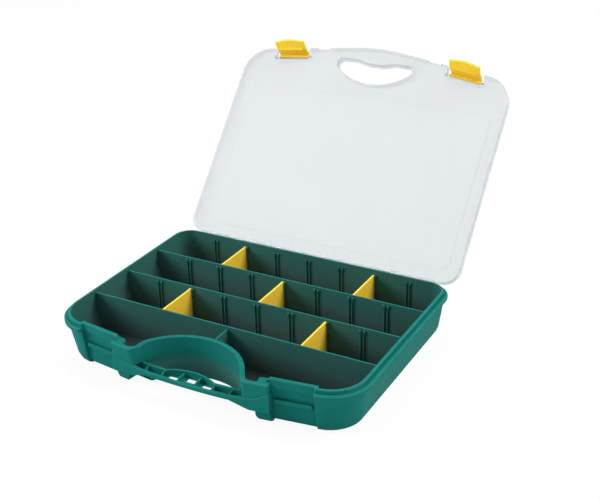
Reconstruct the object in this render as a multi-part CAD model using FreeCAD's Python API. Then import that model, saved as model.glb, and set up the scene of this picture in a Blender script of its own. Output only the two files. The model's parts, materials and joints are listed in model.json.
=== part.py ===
import FreeCAD
import Part
import math
import os

# Open plastic organiser case: green compartment tray, clear lid standing open, yellow latches
# and dividers. Millimetres. X is right, Y is back, Z is up. The origin is the middle of the
# tray's underside. Every piece is modelled with the lid shut and then turned to rest pose.

# Driving dimensions of the tray
HALF_INSIDE = 180.4          # middle of the tray to the inner face of a side wall at the rim
REAR_INSIDE = 133.0          # middle of the tray to the inner face of the rear wall
TRAY_HEIGHT = 54.5           # underside to the top of the rim lip
FRONT_ROW_DEPTH = 31.9       # clear depth of the front row in the middle, at the arched wall
HANDLE_REACH = 63.0          # arch to where the two front flank lines would meet
FLANK_ANGLE = 7.5            # degrees that each front flank turns back
SLOT_PITCH = 44.4            # from one divider groove to the next
SLOTS_EACH_SIDE = 3          # grooves on each side of the middle groove
ROW_DEPTH = 60.9             # clear depth of a row of small compartments
FLOOR_THICKNESS = 3.0
REAR_CORNER_RADIUS = 19.0    # inner radius of the rear corners
FRONT_CORNER_RADIUS = 36.5   # inner radius of the front corners
LOW_CORNER_GROWTH = 3.5      # how much rounder the front corners are low on the wall
CORNER_SHRINK_SHARE = 2.15   # radius that an inner front corner loses for each inset

# Rim: a narrow lip on a wider shoulder flange
LIP_WIDTH = 2.8
LIP_HEIGHT = 4.5
LIP_CHAMFER = 0.8
FLANGE_REACH = 7.6           # inner face of the wall to the outer face of the flange
REAR_FLANGE_REACH = 8.0
FLANGE_DEPTH = 5.0
FLANGE_CHAMFER = 1.0

# Outer wall below the flange, as set-backs from the flange's outer face
WALL_SETBACK_TOP = 3.8
WALL_SETBACK_LOW = 9.4
WALL_SETBACK_FOOT = 11.6
WALL_SETBACK_BASE = 15.6
REAR_SETBACK_LOW = 5.6
REAR_SETBACK_BASE = 7.0
LOW_HEIGHT = 7.5             # where the wall starts to round in
FOOT_HEIGHT = 2.4

# Cavity: draft of the inner wall down to the floor
CAVITY_DRAFT = 4.4
CAVITY_DRAFT_HEIGHT = 14.0
CAVITY_BEND = 7.0
CAVITY_BEND_HEIGHT = 6.5
CAVITY_FLOOR_INSET = 9.6

# Latch recesses in the front flanks, measured along the flank from the middle
RECESS_CORNER = 34.4         # inner face of the side wall to the recess's far end
RECESS_LENGTH = 48.0
RECESS_DEPTH = 7.9           # flange face to the face of the recess band
RECESS_BAND = 3.6            # thickness of the recess band at the rim
RECESS_END_WALL = 3.0
POST_BLOCK = 10.0            # how much thicker the end wall next to a handle post is
POST_BLOCK_DRAFT_SHARE = 0.3 # its draft, as a share of the other walls'
RECESS_PANEL_SETBACK = 2.2   # band face to the panel below it
RECESS_PANEL_LOW = 4.8
RECESS_PANEL_FOOT = 6.9
RECESS_PANEL_BASE = 10.9
STEP_RADIUS = 1.5
LEDGE_TOP = 30.4             # ledge across the recess just below the shut latch
LEDGE_HEIGHT = 4.2
LEDGE_REACH = 0.4            # how far the ledge stands out past the band's face
LEDGE_END_GAP = 4.0

# Handle: two posts, an arched wall behind the hand hole and a low channel bar in front
POST_WALL = 4.8              # flange face to the inner face of the post pocket
POST_END_INSET = 2.0         # recess's near end to where the lip ends, at its top
POST_END_SLOPE = 4.5         # length of the lip's sloping end
POST_DROP_START = 123.0      # middle of the tray to where the rim starts to fall to a post
POST_DROP_RUN = 8.0          # how far the fall takes
ARCH_RIM_DROP = 1.2          # rim's top to the arch's top
POST_FOOT = 17.0             # width of the foot under a post, beside the recess
POST_UNDERSIDE = 13.0        # height of a post's underside beside its foot
POST_UNDERSIDE_DEPTH = 24.0  # flange face to how far back the raised underside goes
POST_UNDERSIDE_WALL = 3.0
POST_FOOT_RADIUS = 9.0        # round of the foot's lower inner corner
POST_RADIUS = 6.5
POST_SETBACK_TOP = 0.3
POST_SETBACK_LOW = 6.4
ARCH_RADIUS = 72.3
ARCH_SIDE_ANGLE = 58.0
ARCH_BAND = 4.4              # wall thickness above the crease
ARCH_WALL = 3.0              # wall thickness below the crease
ARCH_CREASE = 30.0
ARCH_LEAN = 4.4              # how far the lower wall leans into the tray
ARCH_STEP = 1.0              # step in the arch's outer face under its crease
ARCH_STEP_HEIGHT = 0.7
BAR_TOP = 31.0               # top of the finger side
BAR_FRONT_TOP = 26.5         # top of the front wall, in the middle
BAR_BOTTOM = 21.8
BAR_FLOOR = 1.9
BAR_ROOT_BOTTOM = 15.6
BAR_SETBACK = 8.4            # flank lines' meeting point to the bar's front face
BAR_CURVE = 834.0            # radius of the bar's gentle curve
BAR_DEPTH = 10.6
BAR_WALL = 2.0
BAR_HALF_LENGTH = 74.0       # middle to the end of the channel
ROOT_END_GAP = 1.0           # recess's near end to the bar's root
ROOT_TOP = 38.5              # top of the bar's roots, beside the recesses
ROOT_SHOULDER = 4.0          # length of a root's rounded top end
ROOT_SHOULDER_DROP = 1.5
ROOT_WAIST = 11.0            # outer end of a root to its steep middle's foot
ROOT_WAIST_TOP = 30.5
ROOT_FOOT = 19.0             # outer end of a root to where its rise starts
ROOT_FOOT_TOP = 27.8
BAR_RISE = 52.0              # where the bar's top and underside leave their middle level
BAR_BULGE = 8.8              # finger swell on the bar's inner wall
BAR_BULGE_HALF = 30.0
BAR_RIB_PITCH = 21.0
BAR_RIBS_EACH_SIDE = 3       # the nearest one is half a pitch from the middle
BAR_RIB = 1.4
BAR_SLOT_LENGTH = 11.0       # openings in the bar's floor, beside the rear wall
BAR_SLOT_WIDTH = 7.5
BAR_SLOT_MARGIN = 0.8
BAR_SLOTS_EACH_SIDE = 1

# Fixed dividers and the rib pairs that hold the removable ones
DIVIDER_WALL = 1.6
DIVIDER_DROP = 3.4           # rim to the top of a long divider
RIB_DROP = 2.8               # long divider top to the top of the ribs
RIB_REACH = 2.0
RIB_WIDTH = 1.2
PANEL_THICKNESS = 2.2        # a removable divider
PANEL_SIDE_PLAY = 0.3
PANEL_END_PLAY = 0.3
PANEL_FLOOR_PLAY = 0.2

# Lid
LID_RISE = 5.5               # top of the rim lip to the lid's top
LID_PLATE = 1.6
LID_SEAT_GAP = 0.3
LID_SKIRT = 1.5
LID_SIDE_SETBACK = 2.4       # flange's outer face to the lid's side
LID_FRONT_SETBACK = 1.6
LID_REAR_REACH = 5.8         # rear wall's inner face to the lid's rear face
LID_FRONT_RADIUS = 250.0     # gentle curve in the middle of the front edge
LID_CHAMFER = 1.4
LID_NOTCH_SETBACK = 14.2     # flange face to the bottom of a latch notch in the lid
LID_NOTCH_LENGTH = 51.0      # along the flank
LID_NOTCH_CORNER = 31.4      # inner face of the side wall to the notch's far end
LID_LIP_PLAY = 0.5
LID_FIELD_INSET = 12.0       # a shallow raised field on the lid's top
LID_FIELD_RISE = 0.8
LID_FIELD_FRONT = 82.0
LID_FIELD_RADIUS = 14.0
HOLE_BEYOND_ARCH = 9.4       # tray side of the arch to the lid's hand hole
HOLE_RADIUS = 76.0
HOLE_SIDE_ANGLE = 40.0
HOLE_MARGIN = 23.0           # flank lines' meeting point to the hand hole's front edge
HOLE_CORNER_RADIUS = 7.0
HOLE_SWELL = 3.6             # finger swell of the hand hole's front edge
HOLE_SWELL_HALF = 26.0
HOLE_SWELL_RUN = 16.0
HOLE_SWELL_RADIUS = 20.0
HOLE_COLLAR = 1.5

# Lid hinge
HINGE_REACH = 10.6           # inner face of the rear wall to the hinge axis
HINGE_BELOW_RIM = 8.5
HINGE_PLACE = 110.0
KNUCKLE_RADIUS = 3.4
KNUCKLE_WIDTH = 14.0
LUG_WIDTH = 7.0
LUG_ROOT = 9.0               # hinge axis to inside the rear wall
HINGE_END_PLAY = 0.3
PIN_RADIUS = 1.25
PIN_PLAY = 0.05
PRESS_PLAY = 0.02
HINGE_NOTCH = 4.0            # hinge axis to the bottom of the notch in the flange
HEEL_REACH = 3.7             # heel of the lid's arm, which meets the notch when fully open
HEEL_DROP = 1.9
ARM_CLEAR = 0.5              # flange top to the arm above it
ARM_RISE = 6.5
ARM_CREST = 2.4              # hinge axis to where the arm's crest starts down
OPEN_ANGLE = 131.4

# Latches
LATCH_WIDTH = 42.0
LATCH_THICKNESS = 2.2
LATCH_BARREL = 2.2
LATCH_AXIS_DROP = 2.5        # lid's top to the latch's axis
LATCH_AXIS_SETBACK = 10.8    # flange face to the latch's axis
LATCH_KNEE = 5.7             # axis out to the front of the latch's knee
LATCH_BEND = 13.5            # axis down to the bend
LATCH_BEND_OUT = 6.4
LATCH_LENGTH = 26.0          # axis down to the middle of the curved lower edge
LATCH_END_OUT = 10.4
LATCH_FOOT_RISE = 2.4        # lower edge's curved middle to its two ends
LATCH_FOOT_END = 5.5         # straight length at each end of the lower edge
HOOK_REACH = 1.6             # axis out to the hook's inner edge, under the recess band
HOOK_HEIGHT = 1.6
HOOK_GAP = 0.5
HOOK_INSET = 4.0
LATCH_PIN_RADIUS = 1.0
LATCH_REST_ANGLE = 7.0       # how far a latch stands off its shut place when the lid is open

# Where the tray's moulding is divided into its named regions
SIDE_SPLIT_INSET = 30.4      # inner face of a side wall to where the rear wall's region ends
FRONT_SPLIT_REACH = 57.4     # flank lines' meeting point to where the side walls' regions end
ARCH_SPLIT = 62.0

OVERRUN = 5.0                # how far a cutting tool runs past what it cuts

FLANK = math.radians(FLANK_ANGLE)
LID_TOP = TRAY_HEIGHT + LID_RISE
HINGE_BEHIND = REAR_INSIDE + HINGE_REACH
FLANGE_TOP = TRAY_HEIGHT - LIP_HEIGHT
FLANGE_BOTTOM = FLANGE_TOP - FLANGE_DEPTH
DIVIDER_TOP = TRAY_HEIGHT - DIVIDER_DROP
RIB_TOP = DIVIDER_TOP - RIB_DROP
HINGE_HEIGHT = TRAY_HEIGHT - HINGE_BELOW_RIM
LID_SEAT = FLANGE_TOP + LID_SEAT_GAP
LATCH_AXIS_HEIGHT = LID_TOP - LATCH_AXIS_DROP
RECESS_FAR = HALF_INSIDE - RECESS_CORNER
RECESS_NEAR = RECESS_FAR - RECESS_LENGTH
LID_NOTCH_FAR = HALF_INSIDE - LID_NOTCH_CORNER
LID_NOTCH_NEAR = LID_NOTCH_FAR - LID_NOTCH_LENGTH
LATCH_MIDDLE = (LID_NOTCH_NEAR + LID_NOTCH_FAR) / 2
SIDE_SPLIT = HALF_INSIDE - SIDE_SPLIT_INSET
GROOVE_WIDTH = PANEL_THICKNESS + 2 * PANEL_SIDE_PLAY
ROW_A = REAR_INSIDE - ROW_DEPTH - DIVIDER_WALL / 2
ROW_B = ROW_A - ROW_DEPTH - DIVIDER_WALL
ROW_C = ROW_B - ROW_DEPTH - DIVIDER_WALL
ARCH_APEX = FRONT_ROW_DEPTH + DIVIDER_WALL / 2 - ROW_C   # middle to the tray side of the arch
FRONT_APEX = ARCH_APEX + HANDLE_REACH
FRONT_SPLIT = FRONT_SPLIT_REACH - FRONT_APEX
BAR_FRONT = BAR_SETBACK - FRONT_APEX
BAR_ROOT_END = RECESS_NEAR - ROOT_END_GAP
HOLE_APEX = ARCH_APEX + HOLE_BEYOND_ARCH
HOLE_FRONT = FRONT_APEX - HOLE_MARGIN


def vec(x, y, z=0.0):
    return FreeCAD.Vector(x, y, z)


def box(x0, x1, y0, y1, z0, z1):
    return Part.makeBox(x1 - x0, y1 - y0, z1 - z0, vec(x0, y0, z0))


def rod(radius, x0, x1, y, z):
    return Part.makeCylinder(radius, x1 - x0, vec(x0, y, z), vec(1, 0, 0))


def meet(line_a, line_b):
    """Point where two lines meet; a line is (point, direction)."""
    (p, d), (q, e) = line_a, line_b
    cross = d[0] * e[1] - d[1] * e[0]
    t = ((q[0] - p[0]) * e[1] - (q[1] - p[1]) * e[0]) / cross
    return (p[0] + t * d[0], p[1] + t * d[1])


def rounded_wire(corners, z):
    """Closed wire through corners (x, y, radius) at height z, each corner an arc."""
    count = len(corners)
    cuts = []
    for i in range(count):
        x, y, radius = corners[i]
        before = vec(*corners[i - 1][:2]) - vec(x, y)
        after = vec(*corners[(i + 1) % count][:2]) - vec(x, y)
        before.normalize()
        after.normalize()
        half = math.acos(max(-1.0, min(1.0, before.dot(after)))) / 2
        reach = radius / math.tan(half)
        middle = before + after
        middle.normalize()
        tip = middle * (radius / math.sin(half) - radius)
        here = vec(x, y, z)
        cuts.append((here + before * reach, here + tip, here + after * reach))
    edges = []
    for i in range(count):
        start, mid, end = cuts[i]
        edges.append(Part.Arc(start, mid, end).toShape())
        edges.append(Part.LineSegment(end, cuts[(i + 1) % count][0]).toShape())
    return Part.Wire(edges)


def mirrored(corners):
    """Adds the left half to the right half's corners, which run from rear to front."""
    left = [(-x, y, r) for x, y, r in reversed(corners) if abs(x) > 0]
    return corners + left


def flank_point(along, out):
    """Point on the right flank: distance along it from the middle, and out past the flange."""
    return (
        along * math.cos(FLANK) + out * math.sin(FLANK),
        -FRONT_APEX + along * math.sin(FLANK) - out * math.cos(FLANK),
    )


def flank_line(out):
    return (flank_point(0.0, out), (math.cos(FLANK), math.sin(FLANK)))


def step_line(along):
    return (flank_point(along, 0.0), (math.sin(FLANK), -math.cos(FLANK)))


def arch_line(out):
    """Right side of the arch; out is measured from the tray side towards the hand hole."""
    lean = math.radians(ARCH_SIDE_ANGLE)
    centre = -ARCH_APEX - ARCH_RADIUS
    tip = centre + (ARCH_RADIUS - out) / math.cos(lean)
    return ((0.0, tip), (math.cos(lean), -math.sin(lean)))


def tray_outline(side, rear, flank, recess, post, arch, far_end, near_end, rear_radius,
                 front_radius):
    """Corners of one level of the tray. side and rear are places, flank, recess and post are
    distances out from the flange face, arch is the distance out from its tray side, and
    far_end and near_end are how far the recess's end walls stand outside the recess."""
    side_line = ((side, 0.0), (0.0, -1.0))
    rear_line = ((0.0, rear), (1.0, 0.0))
    far = step_line(RECESS_FAR + far_end)
    near = step_line(RECESS_NEAR - near_end)
    arch_tip = arch_line(arch)[0]
    corners = [
        (*meet(rear_line, side_line), rear_radius),
        (*meet(side_line, flank_line(flank)), front_radius),
        (*meet(flank_line(flank), far), STEP_RADIUS),
        (*meet(far, flank_line(recess)), STEP_RADIUS),
        (*meet(flank_line(recess), near), STEP_RADIUS),
        (*meet(near, flank_line(post)), STEP_RADIUS),
        (*meet(flank_line(post), arch_line(arch)), POST_RADIUS),
        (*arch_tip, ARCH_RADIUS - arch),
    ]
    return mirrored(corners)


def inner_outline(inset, arch_inset):
    """Cavity outline; inset is how far it has drawn in from the rim."""
    return tray_outline(
        side=HALF_INSIDE - inset,
        rear=REAR_INSIDE,
        flank=-FLANGE_REACH - inset,
        recess=-RECESS_DEPTH - RECESS_BAND - inset,
        post=-POST_WALL - inset,
        arch=-arch_inset,
        far_end=RECESS_END_WALL + inset,
        near_end=RECESS_END_WALL + POST_BLOCK + POST_BLOCK_DRAFT_SHARE * inset,
        rear_radius=REAR_CORNER_RADIUS,
        front_radius=FRONT_CORNER_RADIUS - CORNER_SHRINK_SHARE * inset,
    )


def lip_outline(grow):
    """Outline around the lip; grow widens it by a play or narrows it by a chamfer."""
    return tray_outline(
        side=HALF_INSIDE + LIP_WIDTH + grow,
        rear=REAR_INSIDE + LIP_WIDTH + grow,
        flank=-FLANGE_REACH + LIP_WIDTH + grow,
        recess=-RECESS_DEPTH + grow,
        post=-POST_WALL + LIP_WIDTH + grow,
        arch=ARCH_BAND + grow,
        far_end=RECESS_END_WALL - LIP_WIDTH - grow,
        near_end=RECESS_END_WALL + POST_BLOCK - LIP_WIDTH - grow,
        rear_radius=REAR_CORNER_RADIUS + LIP_WIDTH,
        front_radius=FRONT_CORNER_RADIUS + LIP_WIDTH,
    )


def flange_outline(chamfer):
    return tray_outline(
        side=HALF_INSIDE + FLANGE_REACH - chamfer,
        rear=REAR_INSIDE + REAR_FLANGE_REACH - chamfer,
        flank=-chamfer,
        recess=-RECESS_DEPTH,
        post=-chamfer,
        arch=ARCH_BAND,
        far_end=0.0,
        near_end=0.0,
        rear_radius=REAR_CORNER_RADIUS + REAR_FLANGE_REACH,
        front_radius=FRONT_CORNER_RADIUS + FLANGE_REACH,
    )


def wall_outline(setback, rear_setback, panel, post, arch, growth):
    """Outer face of the wall below the flange; growth makes its front corners rounder."""
    return tray_outline(
        side=HALF_INSIDE + FLANGE_REACH - setback,
        rear=REAR_INSIDE + REAR_FLANGE_REACH - rear_setback,
        flank=-setback,
        recess=-RECESS_DEPTH - panel,
        post=-post,
        arch=arch,
        far_end=0.0,
        near_end=0.0,
        rear_radius=REAR_CORNER_RADIUS + REAR_FLANGE_REACH - rear_setback,
        front_radius=FRONT_CORNER_RADIUS + FLANGE_REACH - setback + growth,
    )


def stack(levels):
    """Solid through levels (outline, height), with straight walls between them."""
    solid = None
    for (low, z_low), (high, z_high) in zip(levels, levels[1:]):
        layer = Part.makeLoft([rounded_wire(low, z_low), rounded_wire(high, z_high)], True, True)
        solid = layer if solid is None else solid.fuse(layer)
    return solid.removeSplitter()


def cavity():
    """Everything inside the tray's walls, from the floor to above the rim."""
    rim = inner_outline(0.0, 0.0)
    space = stack([
        (inner_outline(CAVITY_FLOOR_INSET, ARCH_LEAN), FLOOR_THICKNESS),
        (inner_outline(CAVITY_BEND, ARCH_LEAN), CAVITY_BEND_HEIGHT),
        (inner_outline(CAVITY_DRAFT, ARCH_LEAN), CAVITY_DRAFT_HEIGHT),
        (rim, ARCH_CREASE),
        (rim, TRAY_HEIGHT + OVERRUN),
    ])
    return space.cut([post_floor(side) for side in (-1, 1)])


def share_of(low, high, share):
    """Value at a share of the way from low to high."""
    return low + (high - low) * share


def shell_outside():
    """Outer form of the tray without the grip bar."""
    lean_low = ARCH_WALL - ARCH_LEAN
    grow = LOW_CORNER_GROWTH
    foot_post = POST_SETBACK_LOW + WALL_SETBACK_FOOT - WALL_SETBACK_LOW
    base_post = POST_SETBACK_LOW + WALL_SETBACK_BASE - WALL_SETBACK_LOW
    base = wall_outline(WALL_SETBACK_BASE, REAR_SETBACK_BASE, RECESS_PANEL_BASE, base_post,
                        lean_low, grow)
    foot = wall_outline(WALL_SETBACK_FOOT, REAR_SETBACK_LOW, RECESS_PANEL_FOOT, foot_post,
                        lean_low, grow)
    low = wall_outline(WALL_SETBACK_LOW, REAR_SETBACK_LOW, RECESS_PANEL_LOW,
                       POST_SETBACK_LOW, lean_low, grow)
    up = (ARCH_CREASE - LOW_HEIGHT) / (FLANGE_BOTTOM - LOW_HEIGHT)
    crease = wall_outline(share_of(WALL_SETBACK_LOW, WALL_SETBACK_TOP, up),
                          share_of(REAR_SETBACK_LOW, WALL_SETBACK_TOP, up),
                          share_of(RECESS_PANEL_LOW, RECESS_PANEL_SETBACK, up),
                          share_of(POST_SETBACK_LOW, POST_SETBACK_TOP, up),
                          ARCH_BAND, share_of(grow, 0.0, up))
    top = wall_outline(WALL_SETBACK_TOP, WALL_SETBACK_TOP, RECESS_PANEL_SETBACK,
                       POST_SETBACK_TOP, ARCH_BAND, 0.0)
    below = wall_outline(share_of(WALL_SETBACK_LOW, WALL_SETBACK_TOP, up),
                         share_of(REAR_SETBACK_LOW, WALL_SETBACK_TOP, up),
                         share_of(RECESS_PANEL_LOW, RECESS_PANEL_SETBACK, up),
                         share_of(POST_SETBACK_LOW, POST_SETBACK_TOP, up),
                         ARCH_BAND - ARCH_STEP, share_of(grow, 0.0, up))
    wall = stack([(base, 0.0), (foot, FOOT_HEIGHT), (low, LOW_HEIGHT),
                  (below, ARCH_CREASE - ARCH_STEP_HEIGHT), (crease, ARCH_CREASE),
                  (top, FLANGE_BOTTOM)])
    flange = stack([
        (flange_outline(0.0), FLANGE_BOTTOM),
        (flange_outline(0.0), FLANGE_TOP - FLANGE_CHAMFER),
        (flange_outline(FLANGE_CHAMFER), FLANGE_TOP),
    ])
    lip = stack([
        (lip_outline(0.0), FLANGE_TOP),
        (lip_outline(0.0), TRAY_HEIGHT - LIP_CHAMFER),
        (lip_outline(-LIP_CHAMFER), TRAY_HEIGHT),
    ])
    under = [under_post(side) for side in (-1, 1)]
    return wall.fuse([flange, lip.cut(low_rim_space())]).cut(under)


def low_rim_space():
    """Space above the arch and the handle posts, where the rim falls to the flange."""
    top = flank_point(RECESS_NEAR - POST_END_INSET, 0.0)[0]
    low = top - POST_END_SLOPE
    side = top + (top - low) * OVERRUN / LIP_HEIGHT
    rear = OVERRUN - ARCH_APEX
    front = -FRONT_APEX - OVERRUN
    arch_top = TRAY_HEIGHT - ARCH_RIM_DROP
    high = TRAY_HEIGHT + OVERRUN
    space = side_prism([
        (rear, arch_top), (-POST_DROP_START, arch_top),
        (-POST_DROP_START - POST_DROP_RUN, FLANGE_TOP), (front, FLANGE_TOP),
        (front, high), (rear, high),
    ], -side, side)
    ends = front_prism([(-low, FLANGE_TOP), (low, FLANGE_TOP), (side, high), (-side, high)],
                       front, rear)
    return space.common(ends)


def front_prism(points, y0, y1):
    """Prism along Y of an outline drawn with (x, z) points."""
    loop = [vec(x, y0, z) for x, z in points]
    return Part.Face(Part.makePolygon(loop + loop[:1])).extrude(vec(0, y1 - y0, 0))


def under_post(side):
    """Space under a handle post beside its foot, whose lower inner corner is round."""
    radius = POST_FOOT_RADIUS
    near = radius - radius * math.sqrt(1 / 2)
    front = -OVERRUN
    path = [vec(0, front, radius), vec(0, front, POST_UNDERSIDE),
            vec(POST_FOOT - RECESS_NEAR, front, POST_UNDERSIDE),
            vec(POST_FOOT - RECESS_NEAR, front, -OVERRUN), vec(radius, front, -OVERRUN),
            vec(radius, front, 0)]
    edges = [Part.LineSegment(a, b).toShape() for a, b in zip(path, path[1:])]
    edges.append(Part.Arc(path[-1], vec(near, front, near), path[0]).toShape())
    space = Part.Face(Part.Wire(edges)).extrude(vec(0, POST_UNDERSIDE_DEPTH + OVERRUN, 0))
    return on_flank(space, side, RECESS_NEAR - POST_FOOT)


def post_floor(side):
    """Plastic that raises a post's own floor over the space under it."""
    wall = POST_UNDERSIDE_WALL
    block = box(POST_FOOT - RECESS_NEAR, wall, 0.0, POST_UNDERSIDE_DEPTH + wall,
                -OVERRUN, POST_UNDERSIDE + wall)
    return on_flank(block, side, RECESS_NEAR - POST_FOOT)


def prism(corners, z_low, z_high):
    wire = rounded_wire(corners, z_low)
    return Part.Face(wire).extrude(vec(0, 0, z_high - z_low))


def side_prism(points, x0, x1):
    """Prism along X of an outline drawn with (y, z) points."""
    loop = [vec(x0, y, z) for y, z in points]
    return Part.Face(Part.makePolygon(loop + loop[:1])).extrude(vec(x1 - x0, 0, 0))


def on_flank(shape, side, along=LATCH_MIDDLE):
    """Moves a shape built at the origin, with -Y outwards, to its place along a flank.
    The left one is the right one's mirror image."""
    shape = shape.copy()
    shape.rotate(vec(0, 0), vec(0, 0, 1), FLANK_ANGLE)
    shape.translate(vec(*flank_point(along, 0.0)))
    if side < 0:
        shape = shape.mirror(vec(0, 0), vec(1, 0, 0))
    return shape


def lug_pair(side):
    """Two round lugs behind the flange that carry a hinge pin."""
    middle = side * HINGE_PLACE
    inner = KNUCKLE_WIDTH / 2 + HINGE_END_PLAY
    lugs = []
    for way in (-1, 1):
        x0, x1 = sorted((middle + way * inner, middle + way * (inner + LUG_WIDTH)))
        lug = rod(KNUCKLE_RADIUS, x0, x1, HINGE_BEHIND, HINGE_HEIGHT)
        root = box(x0, x1, HINGE_BEHIND - LUG_ROOT, HINGE_BEHIND,
                   HINGE_HEIGHT - KNUCKLE_RADIUS, HINGE_HEIGHT + KNUCKLE_RADIUS)
        lugs.append(lug.fuse(root))
    bore = rod(PIN_RADIUS + PRESS_PLAY, middle - inner - LUG_WIDTH, middle + inner + LUG_WIDTH,
               HINGE_BEHIND, HINGE_HEIGHT)
    return lugs[0].fuse(lugs[1]).cut(bore)


def hinge_notch(side):
    """Gap in the flange that the lid's knuckle turns in."""
    half = KNUCKLE_WIDTH / 2 + HINGE_END_PLAY
    middle = side * HINGE_PLACE
    return box(middle - half, middle + half, HINGE_BEHIND - HINGE_NOTCH, HINGE_BEHIND + OVERRUN,
               HINGE_HEIGHT - KNUCKLE_RADIUS - OVERRUN, TRAY_HEIGHT)


def groove_places():
    return [k * SLOT_PITCH for k in range(-SLOTS_EACH_SIDE, SLOTS_EACH_SIDE + 1)]


def rib_pairs(face, way):
    """Rib pairs on a wall's face at y = face; way is the direction they stand out."""
    y0, y1 = sorted((face, face + way * RIB_REACH))
    ribs = []
    for x in groove_places():
        for hand in (-1, 1):
            near = x + hand * GROOVE_WIDTH / 2
            x0, x1 = sorted((near, near + hand * RIB_WIDTH))
            ribs.append(box(x0, x1, y0, y1, FLOOR_THICKNESS, RIB_TOP))
    return ribs


def long_divider(middle, ribbed_front, space):
    """Fixed wall from side to side, with ribs on its rear face and maybe its front face."""
    half = DIVIDER_WALL / 2
    wall = box(-HALF_INSIDE, HALF_INSIDE, middle - half, middle + half,
               FLOOR_THICKNESS, DIVIDER_TOP)
    ribs = rib_pairs(middle + half, 1)
    if ribbed_front:
        ribs += rib_pairs(middle - half, -1)
    return wall.fuse(ribs).common(space).removeSplitter()


def centre_divider(space):
    """Fixed wall from the front long divider to the arched wall."""
    half = DIVIDER_WALL / 2
    wall = box(-half, half, -ARCH_APEX - OVERRUN, ROW_C - half, FLOOR_THICKNESS, RIB_TOP)
    return wall.common(space)


def removable_divider(x, row_behind):
    """Yellow plate in one groove; row_behind is the face at the rear of its row."""
    rear = row_behind - PANEL_END_PLAY
    front = row_behind - ROW_DEPTH + PANEL_END_PLAY
    half = PANEL_THICKNESS / 2
    return box(x - half, x + half, front, rear, FLOOR_THICKNESS + PANEL_FLOOR_PLAY, RIB_TOP)


def recess_ledge(side, outside):
    """Ledge across a recess that guards the shut latch's lower edge."""
    half = (RECESS_FAR - RECESS_NEAR) / 2 - LEDGE_END_GAP
    front = RECESS_DEPTH - LEDGE_REACH
    rear = RECESS_DEPTH + RECESS_PANEL_LOW
    bar = box(-half, half, front, rear, LEDGE_TOP - LEDGE_HEIGHT, LEDGE_TOP)
    return on_flank(bar, side, (RECESS_NEAR + RECESS_FAR) / 2).cut(outside)


def bar_profile(middle_top, waist_top, foot_top, y):
    """Front view of the bar at depth y: level in the middle, with an S up to each root."""
    end = BAR_ROOT_END
    right = [
        (BAR_RISE, BAR_BOTTOM), (BAR_HALF_LENGTH, BAR_ROOT_BOTTOM), (end, BAR_ROOT_BOTTOM),
        (end, ROOT_TOP), (end - ROOT_SHOULDER, ROOT_TOP - ROOT_SHOULDER_DROP),
        (end - ROOT_WAIST, waist_top), (end - ROOT_FOOT, foot_top), (BAR_RISE, middle_top),
    ]
    left = [(-x, z) for x, z in reversed(right)]
    loop = [vec(x, y, z) for x, z in right + left]
    return Part.makePolygon(loop + loop[:1])


def grip_bar(outside):
    """Open-topped channel in front of the hand hole, ribbed across, with slots in its floor."""
    outer = curved_strip(BAR_FRONT, BAR_FRONT + BAR_DEPTH, BAR_ROOT_END, BAR_BULGE)
    inner = curved_strip(BAR_FRONT + BAR_WALL, BAR_FRONT + BAR_DEPTH - BAR_WALL,
                         BAR_HALF_LENGTH, BAR_BULGE)
    rise = BAR_TOP - BAR_FRONT_TOP
    front = bar_profile(BAR_FRONT_TOP, ROOT_WAIST_TOP, ROOT_FOOT_TOP, BAR_FRONT)
    rear = bar_profile(BAR_TOP, ROOT_WAIST_TOP + rise, ROOT_FOOT_TOP + rise,
                       BAR_FRONT + BAR_DEPTH)
    ahead = bar_profile(BAR_FRONT_TOP, ROOT_WAIST_TOP, ROOT_FOOT_TOP, -FRONT_APEX - OVERRUN)
    behind = bar_profile(BAR_TOP, ROOT_WAIST_TOP + rise, ROOT_FOOT_TOP + rise, -ARCH_APEX)
    view = Part.makeLoft([front, rear], True, True)
    view = view.fuse([Part.makeLoft([ahead, front], True, True),
                      Part.makeLoft([rear, behind], True, True)])
    bar = raised(outer, 0.0, TRAY_HEIGHT).common(view)
    hollow = raised(inner, BAR_BOTTOM + BAR_FLOOR, TRAY_HEIGHT)
    first = -(2 * BAR_RIBS_EACH_SIDE - 1) * BAR_RIB_PITCH / 2
    for k in range(2 * BAR_RIBS_EACH_SIDE):
        x = first + k * BAR_RIB_PITCH
        rib = box(x - BAR_RIB / 2, x + BAR_RIB / 2, BAR_FRONT, BAR_FRONT + BAR_DEPTH + OVERRUN,
                  BAR_BOTTOM, BAR_TOP - BAR_WALL)
        hollow = hollow.cut(rib)
    bar = bar.cut(hollow)
    for k in range(-BAR_SLOTS_EACH_SIDE, BAR_SLOTS_EACH_SIDE + 1):
        x = k * BAR_RIB_PITCH
        swell = BAR_BULGE * (1 - (x / BAR_BULGE_HALF) ** 2)
        back = BAR_FRONT + BAR_DEPTH + swell - BAR_WALL - BAR_SLOT_MARGIN
        bar = bar.cut(box(x - BAR_SLOT_LENGTH / 2, x + BAR_SLOT_LENGTH / 2,
                          back - BAR_SLOT_WIDTH, back, 0.0, BAR_BOTTOM + BAR_FLOOR))
    return bar.cut(outside).removeSplitter()


def strip_place(y, x):
    """How far back a line of the bar lies at x, when it crosses the middle at y."""
    return y + x * x / (2 * BAR_CURVE)


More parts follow.
